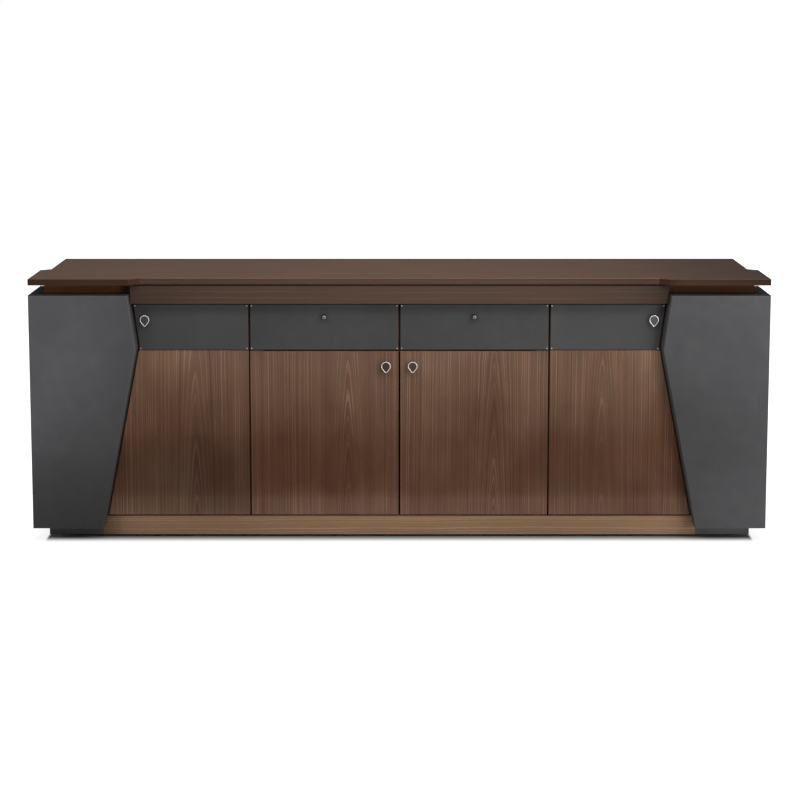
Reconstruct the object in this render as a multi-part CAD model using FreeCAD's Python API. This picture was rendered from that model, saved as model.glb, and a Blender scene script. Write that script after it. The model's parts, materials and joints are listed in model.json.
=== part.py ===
import FreeCAD, Part
import math
import os

# Office credenza with four doors, two drawers and faceted corner pillars.
# Millimetres. X runs to the right, the front faces -Y and Z is up. The origin is on the
# floor under the middle. Depths (d) are measured backwards from the pillar fronts.

# Whole piece
LENGTH = 2200.0
DEPTH = 450.0
HEIGHT = 800.0
MODULE = 450.0                 # one door module, from the middle to the partition line

# Worktop: a thin slab whose ends step forward over the pillars
TOP_THICKNESS = 19.0
TOP_ARRIS = 1.5                # bevel of the upper rim
TOP_CORNER = 4.0               # rounding of the corners in plan
WING_LENGTH = 297.0            # front edge over one pillar
WING_STEP = 31.0               # length of the slanted step beside the wing
MIDDLE_SETBACK = 21.0          # middle front edge behind the wing fronts
WING_DEPTH = 192.0             # side edge of the wing, from the front
REAR_STEP = 20.0               # depth of the slanted step behind the wing
REAR_INSET = 30.0              # rear part of the side edge, inwards from the wing
REAR_OVERHANG = 10.0

# Boards
BOARD = 18.0
BACK_PANEL = 9.0
RISER_HEIGHT = 41.0            # frame between the carcass and the worktop
APRON_SETBACK = 5.0            # apron behind the middle front edge
APRON_PLAY = 1.0               # between an apron end and the pillar
SHADOW_GROOVE = 4.0            # between the apron and the worktop
SIDE_INSET = 38.0              # carcass side, inwards from the pillar side

# Plinth and glides
GLIDE_HEIGHT = 8.0
GLIDE_RADIUS = 15.0
PLINTH_HEIGHT = 57.0
FASCIA_INSET = 202.0           # walnut plinth board, inwards from the pillar side
CORNER_BLOCK = 60.0
CROSS_RAIL = 40.0

# Fronts
FRONT_DEPTH = 60.0             # front faces behind the pillar fronts
FRONT_GAP = 5.0                # between fronts, side by side
FRONT_REVEAL = 4.0             # between fronts, one above the other
TOP_REVEAL = 6.0               # above the fronts
BUFFER_GAP = 3.0               # between the fronts and the carcass
FRONT_ARRIS = 1.0
DRAWER_FRONT_HEIGHT = 139.0
PILLAR_GAP = 4.0               # between an outer door and the pillar
FACE_PLATE = 3.0               # thickness of the grey facing
FACE_INSET = 1.0

# Corner pillars: hollow, open at the top, with a slanted and kinked inner edge
PILLAR_PANEL = 28.0
PILLAR_BOTTOM = 43.0           # above the floor
PILLAR_TOP_GAP = 30.0          # under the worktop
PILLAR_TOP_WIDTH = 294.0
PILLAR_KNEE_WIDTH = 316.0
PILLAR_FOOT_WIDTH = 210.0
PILLAR_KNEE_RISE = 9.0         # knee above the lower edge of the drawers
PILLAR_ARRIS = 3.0
RETURN_PANEL = 18.0
DOOR_REBATE = 20.0             # corner panel edge behind the outer door
BATTEN = 20.0
BATTEN_INSET = 22.0            # front batten, inwards from the carcass side

# Door pivots and catches
PIVOT_INSET = 6.0              # pivot axis behind the front face and inside the hinge edge
PIVOT_PLATE = 2.0
PIVOT_PIN_RADIUS = 2.5
PIVOT_CLEARANCE = 0.05         # between a pin and its bore, on the radius
PIVOT_END_GAP = 0.3            # between a pin's end and the door
PIVOT_EDGE = 6.5               # metal beyond the axis on the free side of a plate
PLATE_REACH = 32.0             # plate beyond the axis on the screwed side
DECK_TAB = 25.0                # part of the upper centre plate let into the deck
HINGE_LEAF = 4.0               # thickness of the leaf let into a door edge
HINGE_LEAF_LENGTH = 40.0
HINGE_LEAF_WIDTH = 12.0
HINGE_LEAF_EDGE = 4.0          # metal beyond the axis, towards the front and the hinge edge
CATCH_LENGTH = 40.0
CATCH_HEIGHT = 14.0
CATCH_DEPTH = 30.0
CATCH_GAP = 0.3
STRIKE = 1.5
STRIKE_MARGIN = 5.0
STRIKE_HEIGHT = 18.0

# Door pulls and drawer knobs
PULL_RADIUS = 14.5             # wide upper end of the egg outline
PULL_TIP_RADIUS = 5.5          # narrow lower end
PULL_HEIGHT = 34.5
PULL_HEAD = 8.0
PULL_RIM = 2.8
PULL_RECESS = 1.6
PULL_STEM_RADIUS = 4.5
PULL_STEM = 10.0
OUTER_PULL_INSET = 34.0        # from the slanted edge of the pillar
OUTER_PULL_DROP = 48.0         # below the top of the door
CENTRE_PULL_X = 40.0
CENTRE_PULL_DROP = 46.5
CATCH_OFFSET = 60.0            # outer catch, from the pull towards the hinge
KNOB_RADIUS = 8.5
KNOB_STEM_RADIUS = 4.0
KNOB_FACE_RADIUS = 6.0
KNOB_STEM = 9.0
KNOB_RIM = 6.0
KNOB_BEVEL = 4.0
KNOB_DROP = 37.5               # below the top of the drawer front

# Drawer boxes on three-member telescopic slides
DRAWER_LIFT = 16.0             # box above the deck
DRAWER_HEIGHT = 100.0
DRAWER_REAR_GAP = 13.0         # between a drawer box and the back panel
DRAWER_BOARD = 12.0
DRAWER_BOTTOM = 6.0
DRAWER_BOTTOM_LIFT = 8.0
DRAWER_GROOVE = 6.0
SLIDE_SPACE = 13.0             # between the carcass and the drawer box
SLIDE_HEIGHT = 45.0
SLIDE_REAR_GAP = 7.0
SLIDE_STEEL = 1.2
SLIDE_CLEARANCE = 0.3
SLIDE_SETBACK = 3.0
SLIDE_CABINET_REACH = 10.0     # flanges of the cabinet member
SLIDE_MIDDLE_REACH = 9.7       # flanges of the intermediate member
SLIDE_DRAWER_REACH = 9.8       # flanges of the drawer member

# Shelves on steel angles
SHELF_CLEAR = 320.0            # under a shelf
SHELF_PLAY = 1.0
SHELF_BACK_GAP = 3.0
ANGLE_STEEL = 1.5
ANGLE_FOOT = 12.0              # leg under the shelf
ANGLE_HEIGHT = 15.0            # leg on the board
ANGLE_LENGTH = 20.0
ANGLE_MARGIN = 27.0            # angles from the front and rear edges of the carcass

# Stations that follow from the sizes above
HALF = LENGTH / 2
SIDE_X = HALF - SIDE_INSET
BAY_X = SIDE_X - BOARD
PARTITION_IN = MODULE - BOARD / 2
PARTITION_OUT = MODULE + BOARD / 2
FRONT_BACK = FRONT_DEPTH + BOARD
CARCASS_FRONT = FRONT_BACK + BUFFER_GAP
CARCASS_BACK = DEPTH - REAR_OVERHANG
BACK_FACE = CARCASS_BACK - BACK_PANEL
TOP_UNDER = HEIGHT - TOP_THICKNESS
RISER_UNDER = TOP_UNDER - RISER_HEIGHT
CARCASS_TOP = RISER_UNDER - BOARD
PLINTH_TOP = GLIDE_HEIGHT + PLINTH_HEIGHT
PANEL_UNDER = PLINTH_TOP - BOARD
FRONTS_BOTTOM = PLINTH_TOP + FRONT_REVEAL
FRONTS_TOP = CARCASS_TOP - TOP_REVEAL
DRAWERS_BOTTOM = FRONTS_TOP - DRAWER_FRONT_HEIGHT
DOORS_TOP = DRAWERS_BOTTOM - FRONT_REVEAL
DECK_TOP = DOORS_TOP + (FRONT_REVEAL + PIVOT_PLATE) / 2
DECK_UNDER = DECK_TOP - BOARD
PILLAR_TOP = TOP_UNDER - PILLAR_TOP_GAP
APRON_FRONT = MIDDLE_SETBACK + APRON_SETBACK
APRON_BACK = APRON_FRONT + BOARD
PLATE_FRONT = FRONT_DEPTH - FACE_PLATE
PIVOT_DEPTH = FRONT_DEPTH + PIVOT_INSET
PILLAR_KNEE_HEIGHT = DRAWERS_BOTTOM + PILLAR_KNEE_RISE
SHELF_UNDER = PLINTH_TOP + SHELF_CLEAR
SLIDE_FRONT = CARCASS_FRONT + SLIDE_SETBACK
SLIDE_BACK = BACK_FACE - SLIDE_REAR_GAP
DRAWER_BACK = BACK_FACE - DRAWER_REAR_GAP
CENTRE_PIVOT_X = MODULE - FRONT_GAP / 2 - PIVOT_INSET
OUTER_PIVOT_X = MODULE + FRONT_GAP / 2 + PIVOT_INSET
BOX_BOTTOM = DECK_TOP + DRAWER_LIFT
BOX_TOP = BOX_BOTTOM + DRAWER_HEIGHT
CORNER_BACK = CARCASS_FRONT + BOARD
EDGE_TOLERANCE = 1e-6


# ---- Geometry helpers ----

def point(x, d, z):
    return FreeCAD.Vector(x, d - DEPTH / 2, z)


def block(x0, x1, d0, d1, z0, z1):
    return Part.makeBox(x1 - x0, d1 - d0, z1 - z0, point(x0, d0, z0))


def prism(corners, sweep):
    wire = Part.makePolygon(corners + [corners[0]])
    return Part.Face(wire).extrude(sweep)


def plan_prism(outline, z0, z1):
    """Solid with an outline of (x, d) points, from z0 up to z1."""
    return prism([point(x, d, z0) for x, d in outline], FreeCAD.Vector(0, 0, z1 - z0))


def front_prism(outline, d0, d1):
    """Solid with an outline of (x, z) points, from depth d0 back to d1."""
    return prism([point(x, d0, z) for x, z in outline], FreeCAD.Vector(0, d1 - d0, 0))


def side_prism(outline, x0, x1):
    """Solid with an outline of (d, z) points, from x0 to x1."""
    return prism([point(x0, d, z) for d, z in outline], FreeCAD.Vector(x1 - x0, 0, 0))


def upright(x, d, z0, z1, radius):
    return Part.makeCylinder(radius, z1 - z0, point(x, d, z0), FreeCAD.Vector(0, 0, 1))


def mirrored(shape):
    return shape.mirror(FreeCAD.Vector(0, 0, 0), FreeCAD.Vector(1, 0, 0))


def both_sides(solids):
    return solids + [mirrored(solid) for solid in solids]


def front_edges(solid, d):
    """Edges of the face that lies at depth d."""
    y = d - DEPTH / 2
    return [
        edge for edge in solid.Edges
        if all(abs(vertex.Point.y - y) < EDGE_TOLERANCE for vertex in edge.Vertexes)
    ]


def upright_edges(solid, x, d):
    """Edges that stand at x and depth d."""
    y = d - DEPTH / 2
    return [
        edge for edge in solid.Edges
        if all(abs(v.Point.x - x) + abs(v.Point.y - y) < EDGE_TOLERANCE for v in edge.Vertexes)
    ]


def rounded_front(solid, d, radius):
    return solid.makeFillet(radius, front_edges(solid, d))


def cut_all(solid, tools):
    for tool in tools:
        solid = solid.cut(tool)
    return solid


# ---- The slanted inner edge of a pillar, on the right-hand side ----

def slant_x(z):
    """Inner edge of the pillar at height z."""
    foot = HALF - PILLAR_FOOT_WIDTH
    knee = HALF - PILLAR_KNEE_WIDTH
    top = HALF - PILLAR_TOP_WIDTH
    if z < PILLAR_KNEE_HEIGHT:
        slope = (knee - foot) / (PILLAR_KNEE_HEIGHT - PILLAR_BOTTOM)
    else:
        slope = (top - knee) / (PILLAR_TOP - PILLAR_KNEE_HEIGHT)
    return knee + (z - PILLAR_KNEE_HEIGHT) * slope


def slant_line(z0, z1, offset):
    """Points of the slanted edge from z0 up to z1, moved outwards by offset."""
    heights = [z0, z1]
    if z0 < PILLAR_KNEE_HEIGHT < z1:
        heights = [z0, PILLAR_KNEE_HEIGHT, z1]
    return [(slant_x(z) + offset, z) for z in heights]


def slant_panel(inner, z0, z1, offset, d0, d1):
    """Panel from the straight edge at x = inner out to the slanted edge."""
    outline = [(inner, z1), (inner, z0)] + slant_line(z0, z1, offset)
    return front_prism(outline, d0, d1)


# ---- Worktop, riser and carcass ----

def worktop():
    inner = HALF - WING_LENGTH
    right = [
        (inner - WING_STEP, MIDDLE_SETBACK),
        (inner, 0),
        (HALF, 0),
        (HALF, WING_DEPTH),
        (HALF - REAR_INSET, WING_DEPTH + REAR_STEP),
        (HALF - REAR_INSET, DEPTH),
    ]
    left = [(-x, d) for x, d in reversed(right)]
    slab = plan_prism(right + left, TOP_UNDER, HEIGHT)
    hollow = (right[0], right[4])
    corners = [(side * x, d) for x, d in right if (x, d) not in hollow for side in (-1, 1)]
    slab = slab.makeFillet(TOP_CORNER, [edge for x, d in corners for edge in upright_edges(slab, x, d)])
    rim = [
        edge for edge in slab.Edges
        if all(abs(vertex.Point.z - HEIGHT) < EDGE_TOLERANCE for vertex in edge.Vertexes)
    ]
    return [slab.makeChamfer(TOP_ARRIS, rim)]


def apron():
    end = slant_x(CARCASS_TOP) - APRON_PLAY
    return [block(-end, end, APRON_FRONT, APRON_BACK, CARCASS_TOP, TOP_UNDER - SHADOW_GROOVE)]


def riser_frame():
    front = block(-SIDE_X, SIDE_X, FRONT_DEPTH, FRONT_BACK, RISER_UNDER, TOP_UNDER)
    rear = block(-SIDE_X, SIDE_X, CARCASS_BACK - BOARD, CARCASS_BACK, RISER_UNDER, TOP_UNDER)
    inner = [
        block(x, x + BOARD, FRONT_BACK, CARCASS_BACK - BOARD, RISER_UNDER, TOP_UNDER)
        for x in (PARTITION_IN, BAY_X)
    ]
    return [front, rear] + both_sides(inner)


def carcass_top():
    middle = slant_x(CARCASS_TOP) - APRON_PLAY
    right = [
        (middle, APRON_BACK),
        (middle, FRONT_DEPTH),
        (SIDE_X, FRONT_DEPTH),
        (SIDE_X, CARCASS_BACK),
    ]
    left = [(-x, d) for x, d in reversed(right)]
    return [plan_prism(right + left, CARCASS_TOP, RISER_UNDER)]


def carcass_bottom():
    return [block(-SIDE_X, SIDE_X, FRONT_BACK, CARCASS_BACK, PANEL_UNDER, PLINTH_TOP)]


def carcass_side():
    return [block(BAY_X, SIDE_X, CARCASS_FRONT, CARCASS_BACK, PLINTH_TOP, CARCASS_TOP)]


def partition():
    return [block(PARTITION_IN, PARTITION_OUT, CARCASS_FRONT, BACK_FACE, PLINTH_TOP, CARCASS_TOP)]


def back_panels():
    centre = block(-MODULE, MODULE, BACK_FACE, CARCASS_BACK, PLINTH_TOP, CARCASS_TOP)
    outer = block(MODULE, BAY_X, BACK_FACE, CARCASS_BACK, PLINTH_TOP, CARCASS_TOP)
    return [centre] + both_sides([outer])


def corner_panels():
    """Fixed panels behind the pillars, which the outer doors close against."""
    outline = [(BAY_X, CARCASS_TOP), (BAY_X, PLINTH_TOP)]
    outline += slant_line(PLINTH_TOP, CARCASS_TOP, -DOOR_REBATE)
    return both_sides([front_prism(outline, CARCASS_FRONT, CORNER_BACK)])


def drawer_deck():
    deck = block(-PARTITION_IN, PARTITION_IN, CARCASS_FRONT, BACK_FACE, DECK_UNDER, DECK_TOP)
    return [cut_all(deck, both_sides([upper_centre_plate()]))]


def drawer_divider():
    return [block(-BOARD / 2, BOARD / 2, CARCASS_FRONT, BACK_FACE, DECK_TOP, CARCASS_TOP)]


def shelf_between(x0, x1):
    front = CORNER_BACK + SHELF_BACK_GAP
    rear = BACK_FACE - SHELF_BACK_GAP
    return block(x0 + SHELF_PLAY, x1 - SHELF_PLAY, front, rear, SHELF_UNDER, SHELF_UNDER + BOARD)


def shelves():
    centre = shelf_between(-PARTITION_IN, PARTITION_IN)
    return [centre] + both_sides([shelf_between(PARTITION_OUT, BAY_X)])


def shelf_angle(wall, turn, d):
    """Steel angle on a board at x = wall. turn is +1 or -1, from the board into the bay."""
    low = SHELF_UNDER - ANGLE_HEIGHT
    shelf_side = SHELF_UNDER - ANGLE_STEEL
    outline = [
        (wall, low),
        (wall, SHELF_UNDER),
        (wall + turn * ANGLE_FOOT, SHELF_UNDER),
        (wall + turn * ANGLE_FOOT, shelf_side),
        (wall + turn * ANGLE_STEEL, shelf_side),
        (wall + turn * ANGLE_STEEL, low),
    ]
    return front_prism(outline, d, d + ANGLE_LENGTH)


def shelf_supports():
    walls = [(PARTITION_IN, -1), (PARTITION_OUT, 1), (BAY_X, -1)]
    depths = [CARCASS_FRONT + ANGLE_MARGIN, BACK_FACE - ANGLE_MARGIN - ANGLE_LENGTH]
    return both_sides([shelf_angle(wall, turn, d) for wall, turn in walls for d in depths])


# ---- Plinth ----

def plinth_fascia():
    end = HALF - FASCIA_INSET
    return [block(-end, end, FRONT_DEPTH, FRONT_BACK, GLIDE_HEIGHT, PLINTH_TOP)]


def corner_block(d):
    return block(BAY_X - CORNER_BLOCK, BAY_X, d, d + CORNER_BLOCK, GLIDE_HEIGHT, PANEL_UNDER)


def plinth_frame():
    rail_back = CARCASS_BACK - BOARD
    front = block(HALF - FASCIA_INSET, SIDE_X, FRONT_DEPTH, FRONT_BACK, GLIDE_HEIGHT, PLINTH_TOP)
    side = block(BAY_X, SIDE_X, FRONT_BACK, rail_back, GLIDE_HEIGHT, PANEL_UNDER)
    rail_x = MODULE - CROSS_RAIL / 2
    rail = block(rail_x, rail_x + CROSS_RAIL, FRONT_BACK, rail_back, GLIDE_HEIGHT, PANEL_UNDER)
    rear = block(-SIDE_X, SIDE_X, rail_back, CARCASS_BACK, GLIDE_HEIGHT, PANEL_UNDER)
    blocks = [corner_block(FRONT_BACK), corner_block(rail_back - CORNER_BLOCK)]
    return [rear] + both_sides([front, side, rail] + blocks)


def glides():
    front = FRONT_BACK + CORNER_BLOCK / 2
    rear = CARCASS_BACK - BOARD - CORNER_BLOCK / 2
    places = [(x, d) for x in (MODULE, BAY_X - CORNER_BLOCK / 2) for d in (front, rear)]
    return both_sides([upright(x, d, 0, GLIDE_HEIGHT, GLIDE_RADIUS) for x, d in places])


# ---- Corner pillars, built on the right-hand side ----

def pillar_front():
    outline = [(HALF, PILLAR_TOP), (HALF, PILLAR_BOTTOM)] + slant_line(PILLAR_BOTTOM, PILLAR_TOP, 0)
    panel = front_prism(outline, 0, PILLAR_PANEL)
    return rounded_front(panel, 0, PILLAR_ARRIS)


def pillar_side():
    """Side panel whose rear edge repeats the slant of the front."""
    foot = WING_DEPTH + PILLAR_FOOT_WIDTH - PILLAR_TOP_WIDTH
    knee = WING_DEPTH + PILLAR_KNEE_WIDTH - PILLAR_TOP_WIDTH
    outline = [
        (PILLAR_PANEL, PILLAR_BOTTOM),
        (foot, PILLAR_BOTTOM),
        (knee, PILLAR_KNEE_HEIGHT),
        (WING_DEPTH, PILLAR_TOP),
        (PILLAR_PANEL, PILLAR_TOP),
    ]
    return side_prism(outline, HALF - PILLAR_PANEL, HALF)


def return_strip(z0, z1, d0, d1):
    inner = slant_line(z0, z1, 0)
    outer = slant_line(z0, z1, RETURN_PANEL)
    return front_prism(inner + outer[::-1], d0, d1)


def pillar_return():
    """Slanted cheek from the pillar front back to the corner panel."""
    front = return_strip(PILLAR_BOTTOM, PILLAR_TOP, PILLAR_PANEL, FRONT_DEPTH)
    rear = return_strip(PLINTH_TOP, CARCASS_TOP, FRONT_DEPTH, CARCASS_FRONT)
    return front.fuse(rear).removeSplitter()


def pillar_battens():
    x = BAY_X - BATTEN_INSET
    front = block(x, x + BATTEN, PILLAR_PANEL, CARCASS_FRONT, PLINTH_TOP, CARCASS_TOP)
    side = block(SIDE_X, HALF - PILLAR_PANEL, CARCASS_FRONT, CARCASS_FRONT + BATTEN, PLINTH_TOP, CARCASS_TOP)
    return both_sides([front, side])


# ---- Door pivots ----

def pivot_pin(x, z0, z1):
    return upright(x, PIVOT_DEPTH, z0, z1, PIVOT_PIN_RADIUS)


def lower_plate():
    """Plate on the plinth with one pin for the centre door and one for the outer door."""
    x0 = CENTRE_PIVOT_X - PIVOT_EDGE
    x1 = OUTER_PIVOT_X + PIVOT_EDGE
    top = PLINTH_TOP + PIVOT_PLATE
    plate = block(x0, x1, FRONT_DEPTH, CARCASS_FRONT, PLINTH_TOP, top)
    pin_end = FRONTS_BOTTOM + HINGE_LEAF - PIVOT_END_GAP
    pins = [pivot_pin(x, PLINTH_TOP, pin_end) for x in (CENTRE_PIVOT_X, OUTER_PIVOT_X)]
    return plate.fuse(pins).removeSplitter()


def upper_outer_plate():
    x0 = OUTER_PIVOT_X - PIVOT_EDGE
    x1 = OUTER_PIVOT_X + PLATE_REACH
    plate = block(x0, x1, FRONT_DEPTH, CARCASS_FRONT, CARCASS_TOP - PIVOT_PLATE, CARCASS_TOP)
    pin = pivot_pin(OUTER_PIVOT_X, FRONTS_TOP - HINGE_LEAF + PIVOT_END_GAP, CARCASS_TOP)
    return plate.fuse(pin).removeSplitter()


def upper_centre_plate():
    """Plate let into the deck, with a tab that reaches forward over the centre door."""
    x0 = CENTRE_PIVOT_X - PLATE_REACH
    under = DECK_TOP - PIVOT_PLATE
    tab = block(x0, CENTRE_PIVOT_X + PIVOT_EDGE, FRONT_DEPTH, CARCASS_FRONT, under, DECK_TOP)
    tail = block(x0, PARTITION_IN, CARCASS_FRONT, CARCASS_FRONT + DECK_TAB, under, DECK_TOP)
    pin = pivot_pin(CENTRE_PIVOT_X, DOORS_TOP - HINGE_LEAF + PIVOT_END_GAP, DECK_TOP)
    return tab.fuse([tail, pin]).removeSplitter()


def pivot_plates():
    return both_sides([lower_plate(), upper_outer_plate(), upper_centre_plate()])


def hinge_mortises(axis_x, turn, top):
    """Blocks that the two hinge leaves of a door fill. turn points from the axis into the door."""
    x_edge = axis_x - turn * HINGE_LEAF_EDGE
    x0, x1 = sorted([x_edge, x_edge + turn * HINGE_LEAF_LENGTH])
    d0 = PIVOT_DEPTH - HINGE_LEAF_EDGE
    d1 = d0 + HINGE_LEAF_WIDTH
    levels = [(FRONTS_BOTTOM, FRONTS_BOTTOM + HINGE_LEAF), (top - HINGE_LEAF, top)]
    return [block(x0, x1, d0, d1, z0, z1) for z0, z1 in levels]


def hinge_leaves(axis_x, turn, top):
    bore = upright(axis_x, PIVOT_DEPTH, FRONTS_BOTTOM, top, PIVOT_PIN_RADIUS + PIVOT_CLEARANCE)
    return [leaf.cut(bore) for leaf in hinge_mortises(axis_x, turn, top)]


# ---- Magnetic catches ----

def catch(x, top):
    front = FRONT_BACK + STRIKE + CATCH_GAP
    return block(x, x + CATCH_LENGTH, front, front + CATCH_DEPTH, top - CATCH_HEIGHT, top)


def magnetic_catches():
    outer = catch(outer_catch_x(), CARCASS_TOP)
    centre = catch(centre_catch_x(), DECK_UNDER)
    return both_sides([outer, centre])


def outer_pull_place():
    z = FRONTS_TOP - OUTER_PULL_DROP
    return slant_x(z) - OUTER_PULL_INSET, z


def outer_catch_x():
    return outer_pull_place()[0] - CATCH_OFFSET


def centre_catch_x():
    return BOARD / 2


def strike(x, z1):
    x0 = x + STRIKE_MARGIN
    x1 = x + CATCH_LENGTH - STRIKE_MARGIN
    return block(x0, x1, FRONT_BACK, FRONT_BACK + STRIKE, z1 - STRIKE_HEIGHT, z1)


# ---- Doors, built on the right-hand side ----

def outer_leaf():
    inner = MODULE + FRONT_GAP / 2
    leaf = slant_panel(inner, FRONTS_BOTTOM, FRONTS_TOP, -PILLAR_GAP, FRONT_DEPTH, FRONT_BACK)
    leaf = rounded_front(leaf, FRONT_DEPTH, FRONT_ARRIS)
    return cut_all(leaf, hinge_mortises(OUTER_PIVOT_X, 1, FRONTS_TOP))


def centre_leaf():
    x0 = FRONT_GAP / 2
    x1 = MODULE - FRONT_GAP / 2
    leaf = block(x0, x1, FRONT_DEPTH, FRONT_BACK, FRONTS_BOTTOM, DOORS_TOP)
    leaf = rounded_front(leaf, FRONT_DEPTH, FRONT_ARRIS)
    return cut_all(leaf, hinge_mortises(CENTRE_PIVOT_X, -1, DOORS_TOP))


def outer_fittings():
    return hinge_leaves(OUTER_PIVOT_X, 1, FRONTS_TOP) + [strike(outer_catch_x(), FRONTS_TOP)]


def centre_fittings():
    return hinge_leaves(CENTRE_PIVOT_X, -1, DOORS_TOP) + [strike(centre_catch_x(), DECK_UNDER)]


# ---- Grey facings ----

def face_levels():
    return DRAWERS_BOTTOM + FACE_INSET, FRONTS_TOP - FACE_INSET


def outer_face():
    z0, z1 = face_levels()
    inner = MODULE + FRONT_GAP / 2 + FACE_INSET
    face = slant_panel(inner, z0, z1, -PILLAR_GAP - FACE_INSET, PLATE_FRONT, FRONT_DEPTH)
    return rounded_front(face, PLATE_FRONT, FRONT_ARRIS)


def drawer_face():
    z0, z1 = face_levels()
    x0 = FRONT_GAP / 2 + FACE_INSET
    x1 = MODULE - FRONT_GAP / 2 - FACE_INSET
    return rounded_front(block(x0, x1, PLATE_FRONT, FRONT_DEPTH, z0, z1), PLATE_FRONT, FRONT_ARRIS)


# ---- Pulls and knobs ----

def round_bar(r0, r1, d0, d1):
    """Cylinder or cone at a knob's place, from radius r0 at depth d0 to r1 at d1."""
    start = point(MODULE / 2, d0, FRONTS_TOP - KNOB_DROP)
    direction = FreeCAD.Vector(0, 1, 0)
    if r0 == r1:
        return Part.makeCylinder(r0, d1 - d0, start, direction)
    return Part.makeCone(r0, r1, d1 - d0, start, direction)


def knob():
    """Turned knob: a bevelled face and a round rim on a straight stem."""
    stem_front = PLATE_FRONT - KNOB_STEM
    rim_front = stem_front - KNOB_RIM
    face = rim_front - KNOB_BEVEL
    bevel = round_bar(KNOB_FACE_RADIUS, KNOB_RADIUS, face, rim_front)
    rim = round_bar(KNOB_RADIUS, KNOB_RADIUS, rim_front, stem_front)
    stem = round_bar(KNOB_STEM_RADIUS, KNOB_STEM_RADIUS, stem_front, PLATE_FRONT)
    return bevel.fuse([rim, stem]).removeSplitter()


def egg(x, z, d0, d1, inset):
    """Egg-shaped disc with the narrow end down, between depths d0 and d1."""
    wide = PULL_RADIUS - inset
    narrow = PULL_TIP_RADIUS - inset
    high = z + PULL_HEIGHT / 2 - PULL_RADIUS
    low = z - PULL_HEIGHT / 2 + PULL_TIP_RADIUS
    tilt = math.asin((wide - narrow) / (high - low))
    side, drop = math.cos(tilt), math.sin(tilt)
    upper = (wide * side, high - wide * drop)
    lower = (narrow * side, low - narrow * drop)
    top = Part.Arc(
        point(x + upper[0], d0, upper[1]), point(x, d0, high + wide), point(x - upper[0], d0, upper[1])
    ).toShape()
    tip = Part.Arc(
        point(x - lower[0], d0, lower[1]), point(x, d0, low - narrow), point(x + lower[0], d0, lower[1])
    ).toShape()
    left = Part.makeLine(point(x - upper[0], d0, upper[1]), point(x - lower[0], d0, lower[1]))
    right = Part.makeLine(point(x + lower[0], d0, lower[1]), point(x + upper[0], d0, upper[1]))
    face = Part.Face(Part.Wire([top, left, tip, right]))
    return face.extrude(FreeCAD.Vector(0, d1 - d0, 0))


def pull(x, z, seat):
    """Egg-shaped pull with a raised rim, on a round stem that stands on depth seat."""
    front = seat - PULL_STEM - PULL_HEAD
    head = egg(x, z, front, front + PULL_HEAD, 0)
    head = head.cut(egg(x, z, front, front + PULL_RECESS, PULL_RIM))
    stem = Part.makeCylinder(
        PULL_STEM_RADIUS, PULL_STEM, point(x, front + PULL_HEAD, z), FreeCAD.Vector(0, 1, 0)
    )
    return head.fuse(stem).removeSplitter()


# ---- Drawers, built on the right-hand side ----

def box_sides():
    return BOARD / 2 + SLIDE_SPACE, PARTITION_IN - SLIDE_SPACE


def drawer_front():
    x0 = FRONT_GAP / 2
    x1 = MODULE - FRONT_GAP / 2
    front = block(x0, x1, FRONT_DEPTH, FRONT_BACK, DRAWERS_BOTTOM, FRONTS_TOP)
    return rounded_front(front, FRONT_DEPTH, FRONT_ARRIS)


def drawer_box():
    x0, x1 = box_sides()
    d0 = FRONT_BACK
    d1 = DRAWER_BACK
    bottom_z = BOX_BOTTOM + DRAWER_BOTTOM_LIFT
    rim = DRAWER_BOARD - DRAWER_GROOVE
    bottom = block(x0 + rim, x1 - rim, d0 + rim, d1 - rim, bottom_z, bottom_z + DRAWER_BOTTOM)
    boards = [
        block(x0, x0 + DRAWER_BOARD, d0, d1, BOX_BOTTOM, BOX_TOP),
        block(x1 - DRAWER_BOARD, x1, d0, d1, BOX_BOTTOM, BOX_TOP),
        block(x0 + DRAWER_BOARD, x1 - DRAWER_BOARD, d0, d0 + DRAWER_BOARD, BOX_BOTTOM, BOX_TOP),
        block(x0 + DRAWER_BOARD, x1 - DRAWER_BOARD, d1 - DRAWER_BOARD, d1, BOX_BOTTOM, BOX_TOP),
    ]
    return [bottom] + [board.cut(bottom) for board in boards]


def channel(wall_x, facing, web, reach, height):
    """Rolled steel channel along the depth, with its web at distance web from a wall.

    facing is +1 or -1: the way from the wall into the bay. reach is the flange length,
    negative for flanges that point back to the wall.
    """
    middle = (BOX_BOTTOM + BOX_TOP) / 2
    turn = math.copysign(1, reach)
    web_back = wall_x + facing * web
    web_face = web_back + facing * turn * SLIDE_STEEL
    lip = web_back + facing * reach
    low, high = middle - height / 2, middle + height / 2
    outline = [
        (web_back, low), (lip, low), (lip, low + SLIDE_STEEL), (web_face, low + SLIDE_STEEL),
        (web_face, high - SLIDE_STEEL), (lip, high - SLIDE_STEEL), (lip, high), (web_back, high),
    ]
    return front_prism(outline, SLIDE_FRONT, SLIDE_BACK)


def at_both_walls(make):
    return [make(BOARD / 2, 1), make(PARTITION_IN, -1)]


def cabinet_slides():
    return at_both_walls(lambda x, facing: channel(x, facing, 0, SLIDE_CABINET_REACH, SLIDE_HEIGHT))


def nested(height):
    return height - 2 * (SLIDE_STEEL + SLIDE_CLEARANCE)


def middle_slides():
    web = SLIDE_STEEL + SLIDE_CLEARANCE
    height = nested(SLIDE_HEIGHT)
    return at_both_walls(lambda x, facing: channel(x, facing, web, SLIDE_MIDDLE_REACH, height))


def drawer_slides():
    height = nested(nested(SLIDE_HEIGHT))
    return at_both_walls(
        lambda x, facing: channel(x, facing, SLIDE_SPACE, -SLIDE_DRAWER_REACH, height)
    )


# ---- Export ----

def save(name, solids):
    shape = solids[0] if len(solids) == 1 else Part.makeCompound(solids)
    shape.exportStep(os.path.join("parts", name + ".step"))


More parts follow.
